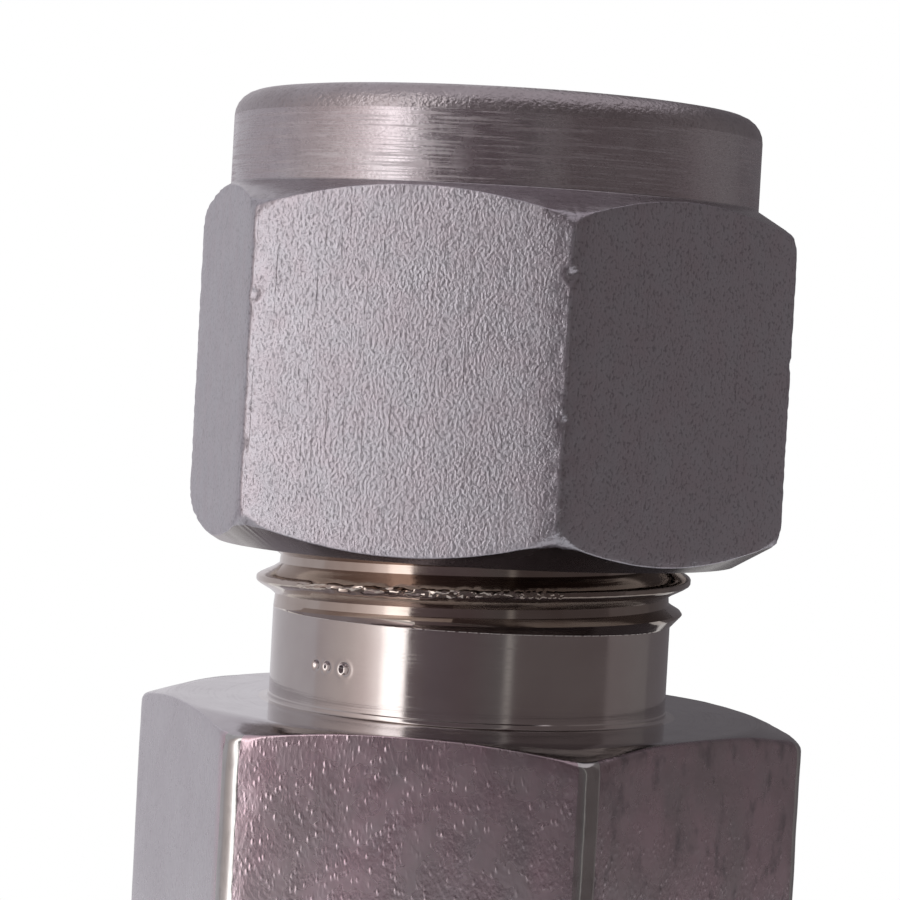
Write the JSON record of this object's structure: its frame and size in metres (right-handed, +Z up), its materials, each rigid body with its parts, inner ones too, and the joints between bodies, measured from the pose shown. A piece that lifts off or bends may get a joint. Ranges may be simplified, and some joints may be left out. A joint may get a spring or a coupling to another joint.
{
  "type": "female tube connector",
  "caption": "Two-ferrule tube fitting: hexagon body with a female taper pipe port, threaded neck, and a hexagon nut holding a front and a back ferrule.",
  "frame": {"origin": "centre of the pipe port's face, at the foot of the body's hexagon", "axes": "+Z up the tube's axis, out of the nut; two flats of the body's hexagon face along Y and two of its corners lie along X"},
  "size_m": [0.022, 0.0192, 0.039],
  "materials": {
    "body_steel": "hexagon bar stock, finely tumbled, with a turned neck and thread",
    "nut_steel": "hexagon bar stock, tumbled, with a turned collar",
    "ferrule_steel": "smooth turned steel"
  },
  "bodies": {
    "connector": {"connector_body": "body_steel"},
    "ferrules": {"front_ferrule": "ferrule_steel", "back_ferrule": "ferrule_steel"},
    "nut": {"tube_nut": "nut_steel"}
  },
  "joints": [
    {"name": "nut_climb", "type": "slide", "parent": "connector", "child": "ferrules", "axis": [0, 0, 1], "range_m": [0, 0.00765]},
    {"name": "nut_turn", "type": "hinge", "parent": "ferrules", "child": "nut", "pos_m": [0, 0, 0.03], "axis": [0, 0, 1], "range_deg": [0, 2160]}
  ],
  "couplings": [
    {"joint": "nut_climb", "follows": "nut_turn", "m_per_rad": 0.00020213}
  ]
}
